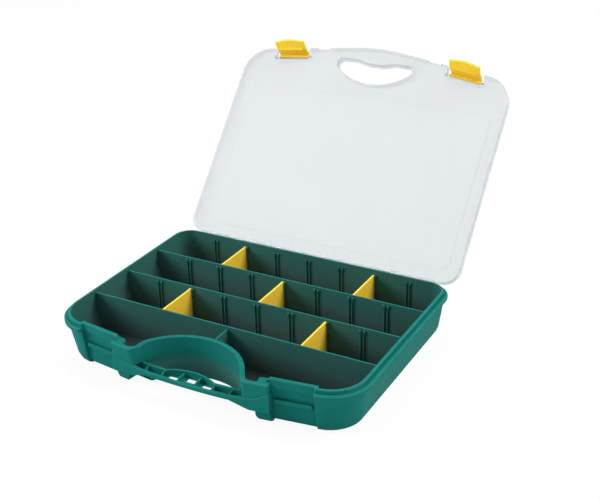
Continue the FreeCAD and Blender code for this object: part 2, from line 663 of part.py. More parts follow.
def curved_strip(front, back, end, bulge):
    """Wire around a gently curved strip between two lines, with a swell in its back line."""
    half = BAR_BULGE_HALF
    a = vec(-end, strip_place(front, end))
    b = vec(end, strip_place(front, end))
    c = vec(end, strip_place(back, end))
    d = vec(half, strip_place(back, half))
    e = vec(-half, strip_place(back, half))
    f = vec(-end, strip_place(back, end))
    quarter = (end + half) / 2
    edges = [
        Part.Arc(a, vec(0, front), b),
        Part.LineSegment(b, c),
        Part.Arc(c, vec(quarter, strip_place(back, quarter)), d),
        Part.Arc(d, vec(0, back + bulge), e),
        Part.Arc(e, vec(-quarter, strip_place(back, quarter)), f),
        Part.LineSegment(f, a),
    ]
    return Part.Wire([edge.toShape() for edge in edges])


def raised(wire, z_low, z_high):
    face = Part.Face(wire)
    face.translate(vec(0, 0, z_low))
    return face.extrude(vec(0, 0, z_high - z_low))


def tray_pieces(outside, space):
    """The green tray, cut face to face into its floor, walls and posts."""
    extras = []
    for side in (-1, 1):
        extras.append(lug_pair(side))
    notches = [hinge_notch(side) for side in (-1, 1)]
    shell = outside.cut(notches).fuse(extras).cut(space)
    high = TRAY_HEIGHT + OVERRUN
    rear = REAR_INSIDE + HINGE_BEHIND
    far = HALF_INSIDE + FRONT_APEX
    corner = SIDE_SPLIT
    post = flank_point(RECESS_NEAR, 0.0)[0]
    zones = {
        "tray_rear_wall": box(-corner, corner, 0.0, rear, FLOOR_THICKNESS, high),
        "tray_left_wall": box(-far, -corner, FRONT_SPLIT, rear, FLOOR_THICKNESS, high),
        "tray_right_wall": box(corner, far, FRONT_SPLIT, rear, FLOOR_THICKNESS, high),
        "tray_front_left_wall": box(-far, -post, -far, FRONT_SPLIT, FLOOR_THICKNESS, high),
        "tray_front_right_wall": box(post, far, -far, FRONT_SPLIT, FLOOR_THICKNESS, high),
        "left_handle_post": box(-post, -ARCH_SPLIT, -far, FRONT_SPLIT, FLOOR_THICKNESS, high),
        "right_handle_post": box(ARCH_SPLIT, post, -far, FRONT_SPLIT, FLOOR_THICKNESS, high),
        "arched_wall": box(-ARCH_SPLIT, ARCH_SPLIT, -far, 0.0, FLOOR_THICKNESS, high),
        "tray_floor": box(-far, far, -far, rear, 0.0, FLOOR_THICKNESS),
    }
    pieces = {name: shell.common(zone).removeSplitter() for name, zone in zones.items()}
    ribs = rib_pairs(REAR_INSIDE, -1)
    pieces["tray_rear_wall"] = pieces["tray_rear_wall"].fuse(ribs).removeSplitter()
    return pieces


def lid_outline(grow):
    """Outline of the lid without its hand hole; grow draws it in when negative."""
    side_line = ((HALF_INSIDE + FLANGE_REACH - LID_SIDE_SETBACK + grow, 0.0), (0.0, -1.0))
    rear_line = ((0.0, REAR_INSIDE + LID_REAR_REACH + grow), (1.0, 0.0))
    wall = LID_SKIRT + grow
    far = step_line(LID_NOTCH_FAR - wall)
    near = step_line(LID_NOTCH_NEAR + wall)
    front = -LID_FRONT_SETBACK + grow
    notch = -LID_NOTCH_SETBACK + grow
    tip = meet(flank_line(front), ((0.0, 0.0), (0.0, 1.0)))
    corners = [
        (*meet(rear_line, side_line), REAR_CORNER_RADIUS + LID_SKIRT + grow),
        (*meet(side_line, flank_line(front)), FRONT_CORNER_RADIUS + LID_SKIRT + grow),
        (*meet(flank_line(front), far), STEP_RADIUS),
        (*meet(far, flank_line(notch)), STEP_RADIUS),
        (*meet(flank_line(notch), near), STEP_RADIUS),
        (*meet(near, flank_line(front)), STEP_RADIUS),
        (*tip, LID_FRONT_RADIUS),
    ]
    return mirrored(corners)


def hole_outline(grow):
    """Outline of the lid's hand hole, made larger by grow."""
    lean = math.radians(HOLE_SIDE_ANGLE)
    radius = HOLE_RADIUS + grow
    tip = (0.0, -HOLE_APEX - HOLE_RADIUS + radius / math.cos(lean))
    front = -HOLE_FRONT - grow
    side = meet((tip, (math.cos(lean), -math.sin(lean))), ((0.0, front), (1.0, 0.0)))
    corners = [
        (*tip, radius),
        (*side, HOLE_CORNER_RADIUS + grow),
        (HOLE_SWELL_HALF, front, HOLE_SWELL_RADIUS),
        (HOLE_SWELL_HALF - HOLE_SWELL_RUN, front + HOLE_SWELL, HOLE_SWELL_RADIUS),
    ]
    return mirrored(corners)


def field_outline(inset):
    side = HALF_INSIDE - LID_FIELD_INSET - inset
    rear = REAR_INSIDE - LID_FIELD_INSET - inset
    front = inset - LID_FIELD_FRONT
    return mirrored([(side, rear, LID_FIELD_RADIUS), (side, front, LID_FIELD_RADIUS)])


def lid_arm(side):
    """Arm and knuckle that hang the lid on a hinge pin, with the heel that stops it."""
    x0 = side * HINGE_PLACE - KNUCKLE_WIDTH / 2
    x1 = side * HINGE_PLACE + KNUCKLE_WIDTH / 2
    low = FLANGE_TOP + ARM_CLEAR
    skirt = REAR_INSIDE + LID_REAR_REACH - LID_SKIRT / 2
    arm = side_prism([
        (skirt, low),
        (HINGE_BEHIND - KNUCKLE_RADIUS, low),
        (HINGE_BEHIND - KNUCKLE_RADIUS, HINGE_HEIGHT),
        (HINGE_BEHIND + KNUCKLE_RADIUS, HINGE_HEIGHT),
        (HINGE_BEHIND + ARM_CREST, low + KNUCKLE_RADIUS / 2),
        (HINGE_BEHIND - ARM_CREST, low + ARM_RISE),
        (skirt, low + ARM_RISE),
    ], x0, x1)
    heel = box(x0, x1, HINGE_BEHIND - HEEL_REACH, HINGE_BEHIND,
               HINGE_HEIGHT - HEEL_DROP, HINGE_HEIGHT)
    heel.rotate(vec(0, HINGE_BEHIND, HINGE_HEIGHT), vec(1, 0, 0), OPEN_ANGLE)
    knuckle = rod(KNUCKLE_RADIUS, x0, x1, HINGE_BEHIND, HINGE_HEIGHT)
    return arm.fuse([heel, knuckle])


def lip_clearance():
    """Space that the tray's lip needs under the lid."""
    around = prism(lip_outline(LID_LIP_PLAY), 0.0, TRAY_HEIGHT + LID_SEAT_GAP)
    return around.cut(prism(inner_outline(LID_LIP_PLAY, LID_LIP_PLAY), 0.0, LID_TOP))


def shut_lid():
    """Clear lid as it lies when shut."""
    shoulder = LID_TOP - LID_CHAMFER
    outer = stack([
        (lid_outline(0.0), LID_SEAT),
        (lid_outline(0.0), shoulder),
        (lid_outline(-LID_CHAMFER), LID_TOP),
    ])
    outer = outer.fuse(prism(field_outline(0.0), shoulder, LID_TOP + LID_FIELD_RISE))
    under = LID_TOP - LID_PLATE
    hollow = prism(lid_outline(-LID_SKIRT), LID_SEAT - OVERRUN, under)
    hollow = hollow.fuse(prism(field_outline(LID_PLATE), under - OVERRUN, under + LID_FIELD_RISE))
    hollow = hollow.cut(prism(hole_outline(HOLE_COLLAR), LID_SEAT - OVERRUN, LID_TOP))
    arms = [lid_arm(side) for side in (-1, 1)]
    lid = outer.cut(hollow).cut(prism(hole_outline(0.0), 0.0, LID_TOP + OVERRUN))
    lid = lid.cut(lip_clearance()).fuse(arms)
    for side in (-1, 1):
        reach = KNUCKLE_WIDTH / 2 + OVERRUN
        middle = side * HINGE_PLACE
        lid = lid.cut(rod(PIN_RADIUS + PIN_PLAY, middle - reach, middle + reach,
                          HINGE_BEHIND, HINGE_HEIGHT))
        lid = lid.cut(on_flank(latch_pin_bore(), side))
    return lid.removeSplitter()


def latch_pin_span():
    """Half the distance between the outer faces of a notch's end walls."""
    return (LID_NOTCH_FAR - LID_NOTCH_NEAR) / 2


def latch_pin_bore():
    half = latch_pin_span()
    return rod(LATCH_PIN_RADIUS + PRESS_PLAY, -half, half, LATCH_AXIS_SETBACK, LATCH_AXIS_HEIGHT)


def latch_pin():
    half = latch_pin_span() - HINGE_END_PLAY
    return rod(LATCH_PIN_RADIUS, -half, half, LATCH_AXIS_SETBACK, LATCH_AXIS_HEIGHT)


def latch_front_view():
    """Prism of a latch's outline seen from the front, with a curved lower edge."""
    half = LATCH_WIDTH / 2
    bulge = half - LATCH_FOOT_END
    top = LATCH_AXIS_HEIGHT + LATCH_BARREL
    low = LATCH_AXIS_HEIGHT - LATCH_LENGTH
    ends = low + LATCH_FOOT_RISE
    front = -LATCH_AXIS_SETBACK
    path = [vec(bulge, front, ends), vec(half, front, ends), vec(half, front, top),
            vec(-half, front, top), vec(-half, front, ends), vec(-bulge, front, ends)]
    edges = [Part.LineSegment(a, b).toShape() for a, b in zip(path, path[1:])]
    edges.append(Part.Arc(path[-1], vec(0, front, low), path[0]).toShape())
    return Part.Face(Part.Wire(edges)).extrude(vec(0, 3 * LATCH_AXIS_SETBACK, 0))


def latch():
    """Shut latch at the origin, with -Y outwards: barrel, knee, two facets and a hook."""
    half = LATCH_WIDTH / 2
    axis = LATCH_AXIS_HEIGHT

    def at(out, down):
        return (LATCH_AXIS_SETBACK - out, axis - down)

    thick = LATCH_THICKNESS
    hook_top = axis - FLANGE_BOTTOM + HOOK_GAP
    hook_root = LATCH_BEND_OUT - thick / 2
    plate = side_prism([
        at(0.0, -LATCH_BARREL),
        at(LATCH_KNEE, -LATCH_BARREL),
        at(LATCH_BEND_OUT, LATCH_BEND),
        at(LATCH_END_OUT, LATCH_LENGTH),
        at(LATCH_END_OUT - thick, LATCH_LENGTH),
        at(LATCH_BEND_OUT - thick, LATCH_BEND),
        at(LATCH_KNEE - thick, thick - LATCH_BARREL),
        at(0.0, thick - LATCH_BARREL),
    ], -half, half)
    hook = side_prism([
        at(HOOK_REACH, hook_top),
        at(hook_root, hook_top),
        at(hook_root, hook_top + HOOK_HEIGHT),
        at(HOOK_REACH, hook_top + HOOK_HEIGHT),
    ], HOOK_INSET - half, half - HOOK_INSET)
    barrel = rod(LATCH_BARREL, -half, half, LATCH_AXIS_SETBACK, axis)
    body = plate.common(latch_front_view()).fuse([hook, barrel])
    return body.cut(rod(LATCH_PIN_RADIUS + PIN_PLAY, -half - OVERRUN, half + OVERRUN,
                        LATCH_AXIS_SETBACK, axis))


def latch_at_rest():
    """Latch swung out a little from its shut place."""
    piece = latch()
    hinge = vec(0, LATCH_AXIS_SETBACK, LATCH_AXIS_HEIGHT)
    piece.rotate(hinge, vec(1, 0, 0), -LATCH_REST_ANGLE)
    return piece


def opened(shape):
    """Turns a piece that rides on the lid from shut to the rest pose, fully open."""
    shape = shape.copy()
    shape.rotate(vec(0, HINGE_BEHIND, HINGE_HEIGHT), vec(1, 0, 0), -OPEN_ANGLE)
    return shape


def build():
    """All pieces of the case by name."""
    outside = shell_outside()
    space = cavity()
    pieces = tray_pieces(outside, space)
    pieces["rear_long_divider"] = long_divider(ROW_A, True, space)
    pieces["middle_long_divider"] = long_divider(ROW_B, True, space)
    pieces["front_long_divider"] = long_divider(ROW_C, False, space)
    pieces["centre_divider"] = centre_divider(space)
    pieces["grip_bar"] = grip_bar(outside)
    half_wall = DIVIDER_WALL / 2
    wide = 2 * SLOT_PITCH
    rows = {"rear": REAR_INSIDE, "middle": ROW_A - half_wall, "third": ROW_B - half_wall}
    places = [("rear", "left", -wide), ("rear", "right", wide), ("middle", "centre", 0.0),
              ("third", "left", -wide), ("third", "right", wide)]
    for row, hand, x in places:
        pieces[f"{row}_row_{hand}_divider"] = removable_divider(x, rows[row])
    pieces["lid"] = opened(shut_lid())
    for hand, side in (("left", -1), ("right", 1)):
        ledge = recess_ledge(side, outside)
        pieces[f"{hand}_recess_ledge"] = ledge.cut(pieces["grip_bar"])
        pieces[f"{hand}_latch"] = opened(on_flank(latch_at_rest(), side))
        pieces[f"{hand}_latch_pin"] = opened(on_flank(latch_pin(), side))
        reach = KNUCKLE_WIDTH / 2 + HINGE_END_PLAY + LUG_WIDTH
        middle = side * HINGE_PLACE
        pieces[f"{hand}_hinge_pin"] = rod(PIN_RADIUS, middle - reach, middle + reach,
                                          HINGE_BEHIND, HINGE_HEIGHT)
    return pieces


def main():
    os.makedirs("parts", exist_ok=True)
    for name, shape in build().items():
        solids = len(shape.Solids)
        print(name, "valid", shape.isValid(), "solids", solids, "volume", round(shape.Volume))
        shape.exportStep(f"parts/{name}.step")


if __name__ == "__main__":
    main()
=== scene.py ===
import json
import math
import bmesh
import bpy
from mathutils import Matrix, Vector
from mathutils.bvhtree import BVHTree

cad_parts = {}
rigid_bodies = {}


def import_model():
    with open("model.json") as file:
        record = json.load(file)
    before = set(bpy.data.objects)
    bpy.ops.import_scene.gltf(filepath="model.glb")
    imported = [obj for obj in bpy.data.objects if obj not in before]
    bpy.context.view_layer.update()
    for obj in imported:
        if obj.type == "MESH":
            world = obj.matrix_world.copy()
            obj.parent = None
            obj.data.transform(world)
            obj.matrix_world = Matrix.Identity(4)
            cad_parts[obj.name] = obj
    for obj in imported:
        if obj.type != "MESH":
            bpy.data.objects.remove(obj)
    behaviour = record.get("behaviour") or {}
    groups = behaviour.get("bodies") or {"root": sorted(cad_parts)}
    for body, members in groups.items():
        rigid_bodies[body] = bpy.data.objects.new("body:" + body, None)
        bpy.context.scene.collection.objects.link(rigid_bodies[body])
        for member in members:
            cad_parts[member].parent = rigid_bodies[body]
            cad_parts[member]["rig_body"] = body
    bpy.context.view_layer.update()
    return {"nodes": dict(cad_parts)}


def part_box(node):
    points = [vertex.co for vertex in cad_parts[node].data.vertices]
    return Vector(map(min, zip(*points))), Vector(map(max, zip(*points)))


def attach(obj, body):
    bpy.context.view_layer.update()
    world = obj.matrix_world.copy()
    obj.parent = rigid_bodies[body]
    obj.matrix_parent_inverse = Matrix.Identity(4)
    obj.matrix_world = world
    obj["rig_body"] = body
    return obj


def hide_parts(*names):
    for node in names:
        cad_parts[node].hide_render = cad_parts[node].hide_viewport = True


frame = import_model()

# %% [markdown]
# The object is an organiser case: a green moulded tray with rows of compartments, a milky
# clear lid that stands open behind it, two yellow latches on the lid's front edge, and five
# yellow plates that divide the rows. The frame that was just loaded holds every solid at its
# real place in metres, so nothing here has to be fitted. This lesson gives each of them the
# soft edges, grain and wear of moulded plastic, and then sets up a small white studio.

MM = 0.001
nodes = frame["nodes"]

# %% [markdown]
# The camera repeats the photograph's viewpoint: from the front and a little to the right,
# looking down at about 26 degrees, with a slight roll. It is described by the point that it
# looks at, its distance and two angles, because those are the numbers that are easy to check
# against a picture. A lens of 66 mm on a 36 mm sensor gives the photograph's perspective.

# %% Camera
LOOKS_AT = Vector((-0.01952, 0.14842, 0.0511))
DISTANCE = 1.36914
AZIMUTH = math.radians(28.9456)
ELEVATION = math.radians(25.9352)
ROLL = math.radians(-1.3029)
LENS_MM = 66.054
SENSOR_MM = 36.0


def camera_axes():
    """Right, up and backward directions of the camera after its roll."""
    back = Vector((math.sin(AZIMUTH) * math.cos(ELEVATION),
                   -math.cos(AZIMUTH) * math.cos(ELEVATION),
                   math.sin(ELEVATION)))
    right = (-back).cross(Vector((0, 0, 1))).normalized()
    up = right.cross(-back)
    rolled_right = right * math.cos(ROLL) + up * math.sin(ROLL)
    rolled_up = up * math.cos(ROLL) - right * math.sin(ROLL)
    return rolled_right, rolled_up, back


def add_camera():
    """Camera at its distance from the point that it looks at."""
    right, up, back = camera_axes()
    camera = bpy.data.objects.new("camera", bpy.data.cameras.new("camera"))
    camera.data.lens = LENS_MM
    camera.data.sensor_width = SENSOR_MM
    place = LOOKS_AT + back * DISTANCE
    rows = [(right[i], up[i], back[i], place[i]) for i in range(3)]
    camera.matrix_world = Matrix([*rows, (0, 0, 0, 1)])
    bpy.context.scene.collection.objects.link(camera)
    bpy.context.scene.camera = camera
    return camera


camera = add_camera()
print("camera at", [round(v, 3) for v in camera.matrix_world.translation])

# %% [markdown]
# A small set of helpers keeps the node trees short. One adds a node and fills in its inputs,
# another joins an output to an input, and a third blends two colours. A socket may be given
# another node's output or a plain value, and one helper does the right thing for both.
# Writing the links out by hand each time would also work, but it would hide the few lines
# that matter.

# %% Node helpers
def node(tree, kind, inputs=None, **settings):
    """New node of a kind, with its settings and unlinked inputs filled in."""
    made = tree.nodes.new(kind)
    for name, value in settings.items():
        setattr(made, name, value)
    for name, value in (inputs or {}).items():
        made.inputs[name].default_value = value
    return made


def link(tree, source, name, target, socket):
    """Joins a node's named output to another node's input."""
    tree.links.new(source.outputs[name], target.inputs[socket])


def feed(tree, value, socket):
    """Gives a socket another node's output, or a plain number or colour."""
    if isinstance(value, bpy.types.NodeSocket):
        tree.links.new(value, socket)
    else:
        socket.default_value = value


def mix_colour(tree, factor, first, second):
    """Colour mix of two sockets or plain colours, driven by a value socket."""
    made = node(tree, "ShaderNodeMix", data_type="RGBA")
    tree.links.new(factor, made.inputs["Factor"])
    for name, colour in (("A", first), ("B", second)):
        feed(tree, colour, [s for s in made.inputs if s.name == name and s.type == "RGBA"][0])
    return [s for s in made.outputs if s.type == "RGBA"][0]


print("node helpers:", node.__name__, link.__name__, feed.__name__, mix_colour.__name__)

# %% [markdown]
# Every moulded part here shares the same small-scale story: a fine grain from the tool's
# surface, slow changes of tone where the plastic flowed, and a few faint scuffs. This is one
# node group with its own inputs, so each finish can ask for more or less of each. It reads
# Object coordinates, which stay put on a piece.

# %% Moulded surface group
SCUFF_STRETCH = (1.0, 6.0, 3.0)
SCUFF_TURN = (0.4, 0.2, 0.7)
SCUFF_FAINTEST = 0.56
SCUFF_FULL = 0.72


def new_group(name, inputs, outputs):
    """Empty shader group with float or colour sockets; inputs are (name, kind, value)."""
    tree = bpy.data.node_groups.new(name, "ShaderNodeTree")
    for socket, kind, value in inputs:
        made = tree.interface.new_socket(socket, in_out="INPUT", socket_type=kind)
        made.default_value = value
    for socket, kind in outputs:
        tree.interface.new_socket(socket, in_out="OUTPUT", socket_type=kind)
    return tree, tree.nodes.new("NodeGroupInput"), tree.nodes.new("NodeGroupOutput")


def moulded_surface_group():
    """Drift of the tone, faint scuffs and height of the grain of a moulded surface."""
    tree, given, result = new_group(
        "moulded_surface",
        [("Grain Scale", "NodeSocketFloat", 1400.0), ("Grain Depth", "NodeSocketFloat", 0.1),
         ("Flow Scale", "NodeSocketFloat", 14.0), ("Scuff Scale", "NodeSocketFloat", 60.0)],
        [("Flow", "NodeSocketFloat"), ("Scuffs", "NodeSocketFloat"),
         ("Height", "NodeSocketFloat")])
    place = node(tree, "ShaderNodeTexCoord")
    grain = node(tree, "ShaderNodeTexNoise", {"Detail": 2.0, "Roughness": 0.6})
    link(tree, place, "Object", grain, "Vector")
    link(tree, given, "Grain Scale", grain, "Scale")
    flow = node(tree, "ShaderNodeTexNoise", {"Detail": 3.0, "Distortion": 0.6})
    link(tree, place, "Object", flow, "Vector")
    link(tree, given, "Flow Scale", flow, "Scale")
    stretch = node(tree, "ShaderNodeMapping")
    stretch.inputs["Scale"].default_value = SCUFF_STRETCH
    stretch.inputs["Rotation"].default_value = SCUFF_TURN
    link(tree, place, "Object", stretch, "Vector")
    scuffs = node(tree, "ShaderNodeTexNoise", {"Detail": 6.0, "Roughness": 0.75})
    link(tree, stretch, "Vector", scuffs, "Vector")
    link(tree, given, "Scuff Scale", scuffs, "Scale")
    thin = node(tree, "ShaderNodeMapRange",
                {"From Min": SCUFF_FAINTEST, "From Max": SCUFF_FULL})
    link(tree, scuffs, "Fac", thin, "Value")
    height = node(tree, "ShaderNodeMath", operation="MULTIPLY")
    link(tree, grain, "Fac", height, 0)
    link(tree, given, "Grain Depth", height, 1)
    link(tree, flow, "Fac", result, "Flow")
    link(tree, thin, "Result", result, "Scuffs")
    link(tree, height, "Value", result, "Height")
    return tree


moulded_surface = moulded_surface_group()
print("group outputs:", [s.name for s in moulded_surface.interface.items_tree
                         if s.in_out == "OUTPUT"])

# %% [markdown]
# The tray is injection-moulded polypropylene in a deep bottle green. It looks satin: broad,
# weak highlights, and a painted highlight makes it a little paler along the rounded edges,
# where the light catches. The edge mask is an attribute that the rounding step below stores on
# each face it makes, so the painted highlight follows the real edges and nothing else. A second
# attribute says how enclosed a face is. Less light reaches inside the tray, most of all near the
# floor, so painted shade turns its tone to a duller grey-green with that attribute.

# %% Painted shade inside the tray
EDGE_MASK = "rounded_edge"
ENCLOSED = "enclosed"
SHADED_FLOOR_TONE = (0.066, 0.092, 0.090, 1)
SHADED_WALL_TONE = (0.040, 0.135, 0.122, 1)
SHADE_LOW = 3 * MM
SHADE_TOP = 42 * MM
SHADE_STARTS = 0.36
SHADE_FULL = 0.62
SHADE_MOST = 0.94


def painted_shade_inside(tree, tone):
    """Tone of the moulding, drifting with painted shade to grey-green on the enclosed faces."""
    place = node(tree, "ShaderNodeTexCoord")
    parts = node(tree, "ShaderNodeSeparateXYZ")
    link(tree, place, "Object", parts, "Vector")
    height = node(tree, "ShaderNodeMapRange", {"From Min": SHADE_LOW, "From Max": SHADE_TOP})
    link(tree, parts, "Z", height, "Value")
    # Painted shade: the shaded tone is darker and greyer towards the floor.
    painted_shade_tone = mix_colour(tree, height.outputs["Result"], SHADED_FLOOR_TONE, SHADED_WALL_TONE)
    enclosed = node(tree, "ShaderNodeAttribute", attribute_name=ENCLOSED)
    share = node(tree, "ShaderNodeMapRange",
                 {"From Min": SHADE_STARTS, "From Max": SHADE_FULL, "To Max": SHADE_MOST})
    link(tree, enclosed, "Fac", share, "Value")
    return mix_colour(tree, share.outputs["Result"], tone, painted_shade_tone)


print("dust reaches from", SHADE_LOW, "to", SHADE_TOP, "m above the table")

# %% [markdown]
# One function makes every opaque finish of the case. It takes the two tones that the flow
# drifts between, the paler tone of the painted edge highlight and how glossy the plastic is, so
# that green and yellow differ only in those values. The index of refraction is low, because the
# real plastic has a dull skin whose reflections are much weaker than those of a polished sheet.

# %% Plastic finishes
SCUFFS_ROUGHEN = 0.14
GRAIN_STRENGTH = 0.35
MOULDED_IOR = 1.14


def moulded_plastic(name, colour, flow_colour, edge_highlight_colour, roughness, edge_highlight_share, bump_mm,
                    specular, shaded_inside=False):
    """Opaque satin plastic: a base tone that drifts, scuffs, and a painted highlight on the
    rounded edges.
    """
    material = bpy.data.materials.new(name)
    material.use_nodes = True
    tree = material.node_tree
    shader = tree.nodes["Principled BSDF"]
    surface = node(tree, "ShaderNodeGroup", node_tree=moulded_surface)
    surface.inputs["Grain Depth"].default_value = 1.0
    tone = mix_colour(tree, surface.outputs["Flow"], colour, flow_colour)
    # Painted shade on the enclosed faces inside the tray.
    if shaded_inside:
        tone = painted_shade_inside(tree, tone)
    # Painted highlight: the rounded edges are mixed towards the paler edge tone.
    edge = node(tree, "ShaderNodeAttribute", attribute_name=EDGE_MASK)
    weak = node(tree, "ShaderNodeMath", {1: edge_highlight_share}, operation="MULTIPLY")
    link(tree, edge, "Fac", weak, 0)
    tree.links.new(mix_colour(tree, weak.outputs["Value"], tone, edge_highlight_colour),
                   shader.inputs["Base Color"])
    rough = node(tree, "ShaderNodeMapRange",
                 {"To Min": roughness, "To Max": roughness + SCUFFS_ROUGHEN})
    link(tree, surface, "Scuffs", rough, "Value")
    link(tree, rough, "Result", shader, "Roughness")
    bump = node(tree, "ShaderNodeBump",
                {"Strength": GRAIN_STRENGTH, "Distance": bump_mm * MM})
    link(tree, surface, "Height", bump, "Height")
    link(tree, bump, "Normal", shader, "Normal")
    shader.inputs["IOR"].default_value = MOULDED_IOR
    shader.inputs["Specular IOR Level"].default_value = specular
    return material


# The paler edge tones below are painted highlights on the rounded edges.
green = moulded_plastic(
    "green_polypropylene", colour=(0.006, 0.138, 0.118, 1),
    flow_colour=(0.009, 0.165, 0.141, 1), edge_highlight_colour=(0.040, 0.31, 0.25, 1),
    roughness=0.44, edge_highlight_share=0.6, bump_mm=0.05, specular=0.1, shaded_inside=True)
yellow = moulded_plastic(
    "yellow_plastic_satin", colour=(0.92, 0.61, 0.036, 1),
    flow_colour=(0.96, 0.68, 0.054, 1), edge_highlight_colour=(0.98, 0.80, 0.20, 1),
    roughness=0.34, edge_highlight_share=0.5, bump_mm=0.04, specular=0.5)
plate_yellow = moulded_plastic(
    "yellow_plate_plastic", colour=(0.98, 0.60, 0.045, 1),
    flow_colour=(0.99, 0.66, 0.060, 1), edge_highlight_colour=(0.99, 0.80, 0.20, 1),
    roughness=0.40, edge_highlight_share=0.5, bump_mm=0.04, specular=0.5)
print("finishes:", green.name, yellow.name, plate_yellow.name)

# %% [markdown]
# The lid is the same family of plastic without pigment. It lets light through but scatters a
# part of it, so white things behind it look faintly grey and soft. Transmission with some
# roughness gives that, and the slight cloudiness comes from the flow tone of the group. A thin
# sheet bends light very little, and the low index of refraction keeps its rim from going dark.

# %% Milky clear finish
LID_TONE = (0.73, 0.755, 0.77, 1)
LID_CLOUD = (0.77, 0.795, 0.81, 1)
LID_FLOW_SCALE = 9.0
LID_SMOOTHEST = 0.16
LID_ROUGHEST = 0.28
LID_GRAIN_STRENGTH = 0.15
LID_GRAIN_HEIGHT = 0.02 * MM
LID_TRANSMISSION = 0.85
LID_IOR = 1.03
LID_SPECULAR = 0.3


def milky_clear():
    """Clear plastic without pigment, with a faint cloud and scuffs that dull it."""
    material = bpy.data.materials.new("milky_clear_polypropylene")
    material.use_nodes = True
    tree = material.node_tree
    shader = tree.nodes["Principled BSDF"]
    surface = node(tree, "ShaderNodeGroup", node_tree=moulded_surface)
    surface.inputs["Grain Depth"].default_value = 1.0
    surface.inputs["Flow Scale"].default_value = LID_FLOW_SCALE
    tree.links.new(mix_colour(tree, surface.outputs["Flow"], LID_TONE, LID_CLOUD),
                   shader.inputs["Base Color"])
    rough = node(tree, "ShaderNodeMapRange", {"To Min": LID_SMOOTHEST, "To Max": LID_ROUGHEST})
    link(tree, surface, "Scuffs", rough, "Value")
    link(tree, rough, "Result", shader, "Roughness")
    bump = node(tree, "ShaderNodeBump",
                {"Strength": LID_GRAIN_STRENGTH, "Distance": LID_GRAIN_HEIGHT})
    link(tree, surface, "Height", bump, "Height")
    link(tree, bump, "Normal", shader, "Normal")
    shader.inputs["Transmission Weight"].default_value = LID_TRANSMISSION
    shader.inputs["IOR"].default_value = LID_IOR
    shader.inputs["Specular IOR Level"].default_value = LID_SPECULAR
    return material


clear = milky_clear()
print("clear lid roughness from", LID_SMOOTHEST, "to", LID_ROUGHEST)

# %% [markdown]
# The pins are drawn steel wire. Drawing leaves fine lines along the wire, so the noise that
# varies the roughness is stretched along X, along which the pins nearly lie.

# %% Pin steel
DRAWN_LINES = (40.0, 1500.0, 1500.0)
STEEL_SMOOTHEST = 0.22
STEEL_ROUGHEST = 0.42
STEEL_TONE = (0.55, 0.55, 0.54, 1)


def drawn_steel():
    """Metal with fine lines along X in its roughness."""
    material = bpy.data.materials.new("drawn_pin_steel")
    material.use_nodes = True
    tree = material.node_tree
    shader = tree.nodes["Principled BSDF"]
    place = node(tree, "ShaderNodeTexCoord")
    draw = node(tree, "ShaderNodeMapping")
    draw.inputs["Scale"].default_value = DRAWN_LINES
    link(tree, place, "Object", draw, "Vector")
    lines = node(tree, "ShaderNodeTexNoise", {"Scale": 1.0, "Detail": 3.0})
    link(tree, draw, "Vector", lines, "Vector")
    rough = node(tree, "ShaderNodeMapRange",
                 {"To Min": STEEL_SMOOTHEST, "To Max": STEEL_ROUGHEST})
    link(tree, lines, "Fac", rough, "Value")
    link(tree, rough, "Result", shader, "Roughness")
    shader.inputs["Base Color"].default_value = STEEL_TONE
    shader.inputs["Metallic"].default_value = 1.0
    return material


steel = drawn_steel()
print("pin finish:", steel.name)

# %% [markdown]
# A moulding has no sharp outer edges: each one is rounded by a few tenths of a millimetre,
# and that thin round is what catches the light in the photograph. The solids have sharp
# edges, so each is copied, its loose triangles are merged, its outward edges are bevelled,
# and the new faces are marked for the finish's painted highlight. Where two regions of the
# same moulding meet, no edge is real, so an edge that touches a neighbouring region is left
# alone. This cell makes the copy and chooses its edges.

# %% Rounding the edges
MERGE = 0.02 * MM
FLAT_ANGLE = math.radians(0.6)
SHARP_ANGLE = math.radians(32)
TOUCHING = 0.03 * MM


def merged_copy(name, flatten):
    """Copy of a solid's mesh with its loose triangles merged, and joined where they are flat."""
    mesh = bmesh.new()
    mesh.from_mesh(nodes[name].data)
    bmesh.ops.remove_doubles(mesh, verts=mesh.verts, dist=MERGE)
    if flatten:
        bmesh.ops.dissolve_limit(mesh, angle_limit=FLAT_ANGLE, verts=mesh.verts,
                                 edges=mesh.edges)
    return mesh


def search_tree(names):
    """One search tree over the surfaces of several solids."""
    points, faces = [], []
    for name in names:
        data = nodes[name].data
        start = len(points)
        points += [v.co.copy() for v in data.vertices]
        faces += [[start + i for i in p.vertices] for p in data.polygons]
    return BVHTree.FromPolygons(points, faces)


def real_edges(mesh, neighbours):
    """Outward edges that belong to the real moulding."""
    chosen = []
    for edge in mesh.edges:
        if not edge.is_manifold or not edge.is_convex:
            continue
        if edge.calc_face_angle(0.0) < SHARP_ANGLE:
            continue
        middle = (edge.verts[0].co + edge.verts[1].co) / 2
        if neighbours and neighbours.find_nearest(middle, TOUCHING)[0] is not None:
            continue
        chosen.append(edge)
    return chosen


def object_of(mesh, name, finish):
    """Object in the scene with one finish, made of a mesh that is freed."""
    data = bpy.data.meshes.new(name)
    mesh.to_mesh(data)
    mesh.free()
    data.materials.append(finish)
    made = bpy.data.objects.new(name, data)
    bpy.context.scene.collection.objects.link(made)
    return made


print("edges sharper than", round(math.degrees(SHARP_ANGLE)), "degrees are rounded")
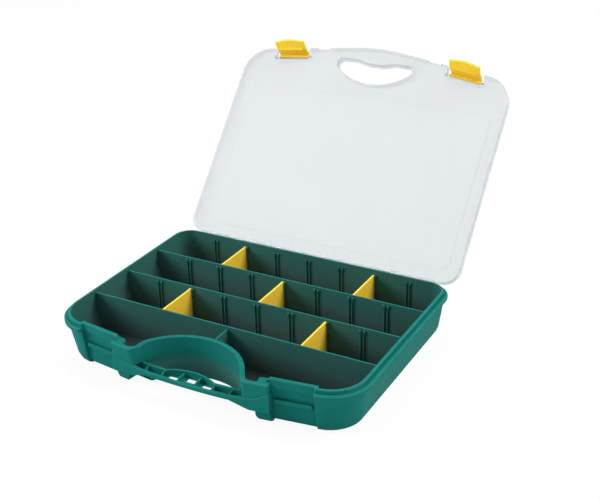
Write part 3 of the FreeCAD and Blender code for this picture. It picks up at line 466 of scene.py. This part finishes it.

# %% [markdown]
# The plastic looks duller where the tray shelters it, because shade falls there, and that shade
# is painted into its colour.
# Painting a mask by hand would tie it to one shape, so it is measured instead. Four level rays
# first ask whether a face lies within the ring of the tray's walls, which leaves out every
# outer face. A fan of rays around the face's normal then counts how many soon meet the case
# again. The grip bar is not part of the ring, because it stands outside the compartments.

# %% How enclosed a face is
TRAY_NODES = [n for n, o in nodes.items() if o["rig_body"] == "tray" and "pin" not in n]
PLATES = [n for n in nodes if n.endswith("_divider") and nodes[n]["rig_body"] != "tray"]
everything = search_tree(TRAY_NODES + PLATES)
tray_ring = search_tree([n for n in TRAY_NODES if n != "grip_bar"])
FOUR_WAYS = (Vector((1, 0, 0)), Vector((-1, 0, 0)), Vector((0, 1, 0)), Vector((0, -1, 0)))
RAY_LIFT = 0.4 * MM
ENCLOSED_REACH = 140 * MM
ENCLOSED_RINGS = ((0.35, 4), (0.8, 6), (1.15, 8))  # tilt from the normal in radians, rays


def enclosure(face):
    """Share of the rays from a face in the tray that soon meet the case again."""
    normal = face.normal
    side = normal.orthogonal().normalized()
    other = normal.cross(side)
    start = face.calc_center_median() + normal * RAY_LIFT
    if any(tray_ring.ray_cast(start, way)[0] is None for way in FOUR_WAYS):
        return 0.0
    met = 0
    total = 0
    for tilt, count in ENCLOSED_RINGS:
        for k in range(count):
            turn = math.tau * k / count
            spread = side * math.cos(turn) + other * math.sin(turn)
            ray = normal * math.cos(tilt) + spread * math.sin(tilt)
            met += everything.ray_cast(start, ray, ENCLOSED_REACH)[0] is not None
            total += 1
    return met / total


print("tray regions:", len(TRAY_NODES), "plates:", len(PLATES))

# %% [markdown]
# Now the two steps come together in one function, which makes a finished piece of a solid.
# A bevel of two segments is enough for an edge this small, and a weighted normal modifier
# keeps the large faces flat in their shading. The low part of the arched wall faces the hand
# hole. It lies outside the ring, yet it sits in the hand hole's shade and looks dull, so its
# faces are given a fixed share of painted shade.

# %% Rounded pieces
ARCH_CREASE = 30 * MM
HAND_HOLE_SHADE = 0.5
EDGE_RADIUS = 0.3 * MM


def painted_shade_share(name, face):
    """How much painted shade a face of the named solid carries."""
    if name == "arched_wall" and face.calc_center_median().z < ARCH_CREASE:
        return HAND_HOLE_SHADE
    return enclosure(face)


def rounded(name, finish, touching=(), flatten=True):
    """Piece that stands for a solid, with rounded edges marked for the painted highlight."""
    mesh = merged_copy(name, flatten)
    mask = mesh.faces.layers.float.new(EDGE_MASK)
    inside = mesh.faces.layers.float.new(ENCLOSED)
    edges = real_edges(mesh, search_tree(touching) if touching else None)
    made = bmesh.ops.bevel(mesh, geom=edges, offset=EDGE_RADIUS, segments=2, profile=0.5,
                           affect="EDGES", clamp_overlap=False)
    # The new bevel faces carry the painted edge highlight.
    for face in made["faces"]:
        face[mask] = 1.0
    # Every face gets its share of painted shade.
    for face in mesh.faces:
        face.smooth = True
        face[inside] = painted_shade_share(name, face)
    piece = object_of(mesh, f"{name}_moulded", finish)
    piece.data.set_sharp_from_angle(angle=SHARP_ANGLE)
    shading = piece.modifiers.new("even shading", "WEIGHTED_NORMAL")
    shading.keep_sharp = True
    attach(piece, nodes[name]["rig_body"])
    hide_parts(name)
    print(f"{name}: {len(edges)} edges rounded, {len(piece.data.polygons)} faces")


print("edge radius", EDGE_RADIUS, "m")

# %% [markdown]
# The tray's regions all belong to one moulding, so each one's neighbours are all the others.
# The bar, the posts and the front walls are full of curves. Joining their nearly flat faces
# would leave long bent polygons that a bevel fills badly, so they keep their triangles.

# %% The green tray
CURVED_NODES = ("bar", "post", "front_left_wall", "front_right_wall")
for name in TRAY_NODES:
    others = [n for n in TRAY_NODES if n != name]
    rounded(name, green, others, not name.endswith(CURVED_NODES))

# %% [markdown]
# The five plates and the two latches are loose mouldings in yellow. They touch nothing that
# belongs to the same moulding, so all their outward edges are rounded. The plates' yellow is a
# little warmer than the latches', and less glossy, as it is in the photograph.

# %% Yellow plates and latches
LATCHES = ["left_latch", "right_latch"]
for name in PLATES:
    rounded(name, plate_yellow)
for name in LATCHES:
    rounded(name, yellow)

# %% [markdown]
# Each latch has a small boss at the middle of its hinge edge, painted pale with the full edge
# highlight. It is a flattened sphere, sunk where a line from the lid's inner side, square to the
# lid, first meets the latch. It stands out by only a tenth of a millimetre, because the closed
# latch lies close to the tray.
# Blender lists a new sphere's faces in an order that changes from run to run, so they are
# sorted here, and the same script always gives the same mesh.

# %% Latch bosses
BOSS_RADIUS = 1.7 * MM
BOSS_HEIGHT_SHARE = 0.32
# The boss takes the paler edge tone at full strength: a painted highlight.
BOSS_HIGHLIGHT_SHARE = 2.0  # twice the edge mask, so the boss is paler than the edges
BOSS_SINK = 0.44 * MM
AWAY_MM = 30
LID_TURN = math.radians(-131.4)
LID_INWARD = Vector((0, math.sin(LID_TURN), -math.cos(LID_TURN)))


def face_rank(face, count):
    """One number that tells a face from all others, from its three lowest corners."""
    first, second, third = sorted(vert.index for vert in face.verts)[:3]
    return (first * count + second) * count + third


def latch_boss(latch):
    """Low dome on the latch, over the middle of its pivot pin."""
    pin_low, pin_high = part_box(f"{latch}_pin")
    start = (Vector(pin_low) + Vector(pin_high)) / 2 + LID_INWARD * AWAY_MM * MM
    hit = search_tree([latch]).ray_cast(start, -LID_INWARD)
    mesh = bmesh.new()
    mask = mesh.faces.layers.float.new(EDGE_MASK)
    bmesh.ops.create_uvsphere(mesh, u_segments=20, v_segments=12, radius=BOSS_RADIUS)
    mesh.verts.index_update()
    mesh.faces.sort(key=lambda face: face_rank(face, len(mesh.verts)))
    bmesh.ops.scale(mesh, vec=(1, 1, BOSS_HEIGHT_SHARE), verts=mesh.verts)
    for face in mesh.faces:
        face.smooth = True
        face[mask] = BOSS_HIGHLIGHT_SHARE
    turn = hit[1].to_track_quat("Z", "Y").to_matrix()
    bmesh.ops.rotate(mesh, matrix=turn, verts=mesh.verts)
    bmesh.ops.translate(mesh, vec=hit[0] - hit[1] * BOSS_SINK, verts=mesh.verts)
    boss = object_of(mesh, f"{latch}_boss", yellow)
    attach(boss, nodes[latch]["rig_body"])
    return hit[0]


for latch in LATCHES:
    print(latch, "boss at", [round(v, 4) for v in latch_boss(latch)])

# %% [markdown]
# The ribs that hold the yellow plates stand in pairs, and each pair opens at its top like a
# funnel, so that a plate finds its groove. The flares repeat along every ribbed face, so a
# Geometry Nodes tree makes one row of them: a bar that bends outwards with the square of its
# height, its mirror image, and a line of points that carries the pair at the groove pitch.
# Three helpers come first, for sums, for vectors and for the marks on the faces.

# %% Tree helpers
def maths(tree, operation, first, second):
    """Math node of two values or sockets; returns its output socket."""
    made = node(tree, "ShaderNodeMath", operation=operation)
    feed(tree, first, made.inputs[0])
    feed(tree, second, made.inputs[1])
    return made.outputs[0]


def vector_of(tree, x, y, z):
    """Combine XYZ node of three values or sockets; returns its output socket."""
    made = node(tree, "ShaderNodeCombineXYZ")
    for place, value in enumerate((x, y, z)):
        feed(tree, value, made.inputs[place])
    return made.outputs[0]


def marked_faces(tree, geometry, name, value):
    """Stores one number on every face under an attribute's name."""
    made = node(tree, "GeometryNodeStoreNamedAttribute", {"Name": name},
                data_type="FLOAT", domain="FACE")
    made.inputs["Value"].default_value = value
    tree.links.new(geometry, made.inputs["Geometry"])
    return made.outputs["Geometry"]


print("tree helpers:", maths.__name__, vector_of.__name__, marked_faces.__name__)

# %% [markdown]
# The tree's sizes are its inputs. The bar is cut into six steps along its height, enough for
# a bend of a millimetre and a half. The mirror image has its faces flipped, because a negative
# scale turns a shape inside out.

# %% Flared rib tree
BAR_LEVELS = 7
FLARE_HIGHLIGHT_SHARE = 0.45
FLARE_SHADE_SHARE = 0.5


def flared_rib_tree():
    """Row of flared rib pairs along X, with the ribs' tops at the height of the origin."""
    tree = bpy.data.node_groups.new("flared_ribs", "GeometryNodeTree")
    tree.interface.new_socket("Geometry", in_out="INPUT", socket_type="NodeSocketGeometry")
    for name in ("Pitch", "Gap", "Width", "Reach", "Rise", "Flare"):
        tree.interface.new_socket(name, in_out="INPUT", socket_type="NodeSocketFloat")
    tree.interface.new_socket("Pairs", in_out="INPUT", socket_type="NodeSocketInt")
    tree.interface.new_socket("Finish", in_out="INPUT", socket_type="NodeSocketMaterial")
    tree.interface.new_socket("Geometry", in_out="OUTPUT", socket_type="NodeSocketGeometry")
    given = tree.nodes.new("NodeGroupInput").outputs
    result = tree.nodes.new("NodeGroupOutput")
    bar = node(tree, "GeometryNodeMeshCube",
               {"Vertices X": 2, "Vertices Y": 2, "Vertices Z": BAR_LEVELS})
    tree.links.new(vector_of(tree, given["Width"], given["Reach"], given["Rise"]),
                   bar.inputs["Size"])
    place = node(tree, "GeometryNodeInputPosition")
    parts = node(tree, "ShaderNodeSeparateXYZ")
    link(tree, place, "Position", parts, "Vector")
    up = maths(tree, "ADD", maths(tree, "DIVIDE", parts.outputs["Z"], given["Rise"]), 0.5)
    bend = maths(tree, "MULTIPLY", maths(tree, "MULTIPLY", up, up), given["Flare"])
    out = maths(tree, "MULTIPLY", maths(tree, "ADD", given["Gap"], given["Width"]), 0.5)
    moved = node(tree, "GeometryNodeSetPosition")
    link(tree, bar, "Mesh", moved, "Geometry")
    tree.links.new(vector_of(tree, maths(tree, "ADD", bend, out), 0.0,
                             maths(tree, "MULTIPLY", given["Rise"], -0.5)),
                   moved.inputs["Offset"])
    mirrored = node(tree, "GeometryNodeTransform", {"Scale": (-1, 1, 1)})
    link(tree, moved, "Geometry", mirrored, "Geometry")
    turned = node(tree, "GeometryNodeFlipFaces")
    link(tree, mirrored, "Geometry", turned, "Mesh")
    pair = node(tree, "GeometryNodeJoinGeometry")
    tree.links.new(moved.outputs["Geometry"], pair.inputs[0])
    tree.links.new(turned.outputs["Mesh"], pair.inputs[0])
    row = node(tree, "GeometryNodeMeshLine", mode="OFFSET")
    tree.links.new(given["Pairs"], row.inputs["Count"])
    steps = maths(tree, "MULTIPLY", maths(tree, "SUBTRACT", given["Pairs"], 1.0), -0.5)
    tree.links.new(vector_of(tree, maths(tree, "MULTIPLY", steps, given["Pitch"]), 0.0, 0.0),
                   row.inputs["Start Location"])
    tree.links.new(vector_of(tree, given["Pitch"], 0.0, 0.0), row.inputs["Offset"])
    spread = node(tree, "GeometryNodeInstanceOnPoints")
    link(tree, row, "Mesh", spread, "Points")
    link(tree, pair, "Geometry", spread, "Instance")
    real = node(tree, "GeometryNodeRealizeInstances")
    link(tree, spread, "Instances", real, "Geometry")
    # Painted highlight and painted shade, stored on every face of the flares.
    marked = marked_faces(tree, real.outputs["Geometry"], EDGE_MASK, FLARE_HIGHLIGHT_SHARE)
    marked = marked_faces(tree, marked, ENCLOSED, FLARE_SHADE_SHARE)
    finish = node(tree, "GeometryNodeSetMaterial")
    tree.links.new(marked, finish.inputs["Geometry"])
    tree.links.new(given["Finish"], finish.inputs["Material"])
    link(tree, finish, "Geometry", result, "Geometry")
    return tree


flared_ribs = flared_rib_tree()
print("flared rib nodes:", len(flared_ribs.nodes))

# %% [markdown]
# The ribbed faces are the rear wall's inner face, both faces of the rear and middle long
# dividers and the rear face of the front one. Each row is made by the tree, moved to its
# face, and all rows become one plain mesh that rides on the tray.

# %% Flared ribs in place
GROOVE_PITCH = 44.4 * MM
GROOVES = 7
RIB_WIDTH = 1.2 * MM
RIB_REACH = 2.0 * MM
RIB_DROP = 2.8 * MM
GROOVE_PLAY = 0.6 * MM
FLARE = 1.5 * MM
FLARE_RISE = 6.0 * MM
PLATE_LOW, PLATE_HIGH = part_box("middle_row_centre_divider")
RIB_INPUTS = {"Pitch": GROOVE_PITCH, "Gap": PLATE_HIGH[0] - PLATE_LOW[0] + GROOVE_PLAY,
              "Width": RIB_WIDTH, "Reach": RIB_REACH, "Rise": FLARE_RISE, "Flare": FLARE,
              "Pairs": GROOVES, "Finish": green}


def ribbed_rows():
    """Y of the middle of each row of ribs."""
    half = RIB_REACH / 2
    rows = [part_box("tray_rear_wall")[0][1] + half]
    for name in ("rear_long_divider", "middle_long_divider"):
        low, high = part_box(name)
        rows += [low[1] + half, high[1] - half]
    rows.append(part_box("front_long_divider")[1][1] - half)
    return rows


def one_row():
    """Plain mesh of one row, from the tree."""
    holder = bpy.data.objects.new("rib_row", bpy.data.meshes.new("rib_row"))
    bpy.context.scene.collection.objects.link(holder)
    maker = holder.modifiers.new("flared ribs", "NODES")
    maker.node_group = flared_ribs
    for socket in flared_ribs.interface.items_tree:
        if socket.in_out == "INPUT" and socket.name in RIB_INPUTS:
            maker[socket.identifier] = RIB_INPUTS[socket.name]
    graph = bpy.context.evaluated_depsgraph_get()
    data = bpy.data.meshes.new_from_object(holder.evaluated_get(graph), depsgraph=graph)
    bpy.data.objects.remove(holder)
    return data


def rib_flares():
    """All rows joined in one piece on the tray."""
    row = one_row()
    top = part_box("rear_long_divider")[1][2] - RIB_DROP
    mesh = bmesh.new()
    for y in ribbed_rows():
        before = len(mesh.verts)
        mesh.from_mesh(row)
        mesh.verts.ensure_lookup_table()
        bmesh.ops.translate(mesh, vec=(0, y, top), verts=mesh.verts[before:])
    piece = object_of(mesh, "rib_flares", green)
    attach(piece, "tray")
    return piece


print("rib flares:", len(rib_flares().data.polygons), "faces")

# %% [markdown]
# The lid and the four pins keep their own solids and only get a finish. A bevel on the lid's
# many small triangles leaves ragged lines along its rim, and clear plastic hides nothing.

# %% Lid and pins
def finish_solid(name, finish):
    """Puts a finish on a solid that keeps its own shape."""
    for place in nodes[name].material_slots:
        place.material = finish


finish_solid("lid", clear)
for name in nodes:
    if name.endswith("_pin"):
        finish_solid(name, steel)
print("solids that keep their shape:", [n for n in nodes if n == "lid" or n.endswith("_pin")])

# %% [markdown]
# The studio is a white floor and white surroundings. The floor is partly lit and partly
# glowing to the camera, so that it stays white like the photograph's paper but still shows
# the case's soft shadow. Glossy and transmission rays see the same white, because the clear
# lid would otherwise show a darker room through it.

# %% Floor
FLOOR_SIZE = 8.0
FLOOR_DROP = 0.3 * MM
FLOOR_GLOW_SHARE = 0.92
PAPER_TONE = (0.9, 0.9, 0.9, 1)
PAPER_ROUGHNESS = 0.9
WHITE = (1, 1, 1, 1)


def seen_ray(tree):
    """1 for camera, glossy and transmission rays, and 0 for the rays that light things."""
    path = node(tree, "ShaderNodeLightPath")
    first = node(tree, "ShaderNodeMath", operation="MAXIMUM")
    link(tree, path, "Is Camera Ray", first, 0)
    link(tree, path, "Is Glossy Ray", first, 1)
    second = node(tree, "ShaderNodeMath", operation="MAXIMUM")
    link(tree, first, "Value", second, 0)
    link(tree, path, "Is Transmission Ray", second, 1)
    return second


def white_paper():
    """Finish that takes a shadow, and glows to the rays that are seen."""
    material = bpy.data.materials.new("white_paper")
    material.use_nodes = True
    tree = material.node_tree
    shader = tree.nodes["Principled BSDF"]
    shader.inputs["Base Color"].default_value = PAPER_TONE
    shader.inputs["Roughness"].default_value = PAPER_ROUGHNESS
    glow = node(tree, "ShaderNodeEmission", {"Color": WHITE, "Strength": 1.0})
    seen = seen_ray(tree)
    share = node(tree, "ShaderNodeMath", {1: FLOOR_GLOW_SHARE}, operation="MULTIPLY")
    link(tree, seen, "Value", share, 0)
    mix = node(tree, "ShaderNodeMixShader")
    link(tree, share, "Value", mix, "Fac")
    tree.links.new(shader.outputs[0], mix.inputs[1])
    tree.links.new(glow.outputs[0], mix.inputs[2])
    tree.links.new(mix.outputs[0], tree.nodes["Material Output"].inputs["Surface"])
    return material


def paper_floor():
    """White floor a hair below the case."""
    mesh = bmesh.new()
    bmesh.ops.create_grid(mesh, x_segments=1, y_segments=1, size=FLOOR_SIZE / 2)
    bmesh.ops.translate(mesh, verts=mesh.verts, vec=(0, 0, -FLOOR_DROP))
    object_of(mesh, "paper_floor", white_paper())


paper_floor()
print("floor", FLOOR_SIZE, "m wide")

# %% [markdown]
# The surroundings are white to the rays that are seen and less bright to the rays that light
# things. In this way the background is the white of paper, while the case is lit at a plain
# level, at which each colour renders about as it is written.

# %% Surroundings
WORLD_LIGHT = 0.44


def white_surroundings():
    """World that looks white and lights the case at a plain level."""
    world = bpy.data.worlds.new("white_studio")
    world.use_nodes = True
    tree = world.node_tree
    background = tree.nodes["Background"]
    background.inputs["Color"].default_value = WHITE
    strength = node(tree, "ShaderNodeMapRange", {"To Min": WORLD_LIGHT, "To Max": 1.0})
    link(tree, seen_ray(tree), "Value", strength, "Value")
    link(tree, strength, "Result", background, "Strength")
    bpy.context.scene.world = world
    bpy.context.scene.view_settings.view_transform = "Standard"


white_surroundings()
print("world light", WORLD_LIGHT)

# %% [markdown]
# Three large soft lamps light the case. One stands high at the back left and draws the bright
# lines along the rims. One at the front left lights the front and left outer walls. The
# strongest stands at the back right, and lights the right outer wall and, through the open
# top, the compartments. Each lamp is a square of about a metre, because a large lamp gives the
# photograph's soft shadows.

# %% Soft lamps
TRAY_MIDDLE = (0, 0, 0.03)
LAMPS = (
    # name, place in metres, point that it faces, side in metres, power in watts
    ("high_back_lamp", (-0.5, 1.1, 1.8), (0, 0, 0), 1.2, 16.0),
    ("left_lamp", (-1.4, -0.9, 0.95), TRAY_MIDDLE, 0.9, 25.0),
    ("right_lamp", (1.4, 0.7, 1.7), TRAY_MIDDLE, 1.1, 36.0),
)


def soft_lamp(name, place, target, size, power):
    """Square area lamp that faces a point."""
    data = bpy.data.lights.new(name, "AREA")
    data.shape = "SQUARE"
    data.size = size
    data.energy = power
    lamp = bpy.data.objects.new(name, data)
    lamp.location = place
    aim = Vector(target) - Vector(place)
    lamp.rotation_euler = aim.to_track_quat("-Z", "Y").to_euler()
    bpy.context.scene.collection.objects.link(lamp)


for name, place, target, size, power in LAMPS:
    soft_lamp(name, place, target, size, power)
    print(f"{name}: {power} W from a square of {size} m")
